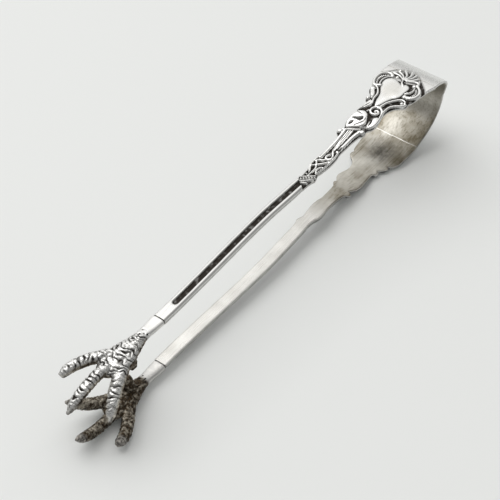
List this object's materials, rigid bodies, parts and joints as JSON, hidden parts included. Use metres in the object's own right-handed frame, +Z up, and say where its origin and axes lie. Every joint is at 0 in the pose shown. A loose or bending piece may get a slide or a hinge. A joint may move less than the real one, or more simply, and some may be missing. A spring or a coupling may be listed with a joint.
{
  "type": "ice tongs",
  "caption": "Silver claw-foot ice tongs: a springy U-shaped bow, struck arms with scroll ornament and a dark channel, and cast bird's claws for jaws.",
  "frame": {"origin": "middle of the bottom of the whole object's box, on the surface that it lies on", "axes": "+X along the tongs' length from the claws to the bow, +Z up from the lower arm to the upper one, Y across the arms"},
  "size_m": [0.1682, 0.021, 0.0296],
  "materials": {
    "plain_silver": "polished silver outside, satin inside with a warm grey tarnish",
    "struck_silver": "polished silver with dark oxidised recesses",
    "cast_silver": "cast silver, dark in the wrinkles, brown tarnish inside",
    "solder": "thin line of silver solder"
  },
  "bodies": {
    "bow": {"bow": "plain_silver"},
    "upper_arm": {"upper_arm": "struck_silver", "upper_claw": "cast_silver", "upper_bow_solder": "solder", "upper_claw_solder": "solder"},
    "lower_arm": {"lower_arm": "struck_silver", "lower_claw": "cast_silver", "lower_bow_solder": "solder", "lower_claw_solder": "solder"}
  },
  "joints": [
    {"name": "upper_flex", "type": "hinge", "parent": "bow", "child": "upper_arm", "pos_m": [0.07861, -0.00025, 0.02312], "axis": [0, 1, 0], "range_deg": [-0.8, 4], "stiffness_Nm_per_rad": 4.7, "deforming": ["bow"]},
    {"name": "lower_flex", "type": "hinge", "parent": "bow", "child": "lower_arm", "pos_m": [0.07912, -0.00025, 0.00758], "axis": [0, -1, 0], "range_deg": [-0.8, 4], "stiffness_Nm_per_rad": 4.7, "deforming": ["bow"]}
  ],
  "couplings": [
    {"joint": "lower_flex", "follows": "upper_flex", "ratio": 1}
  ]
}
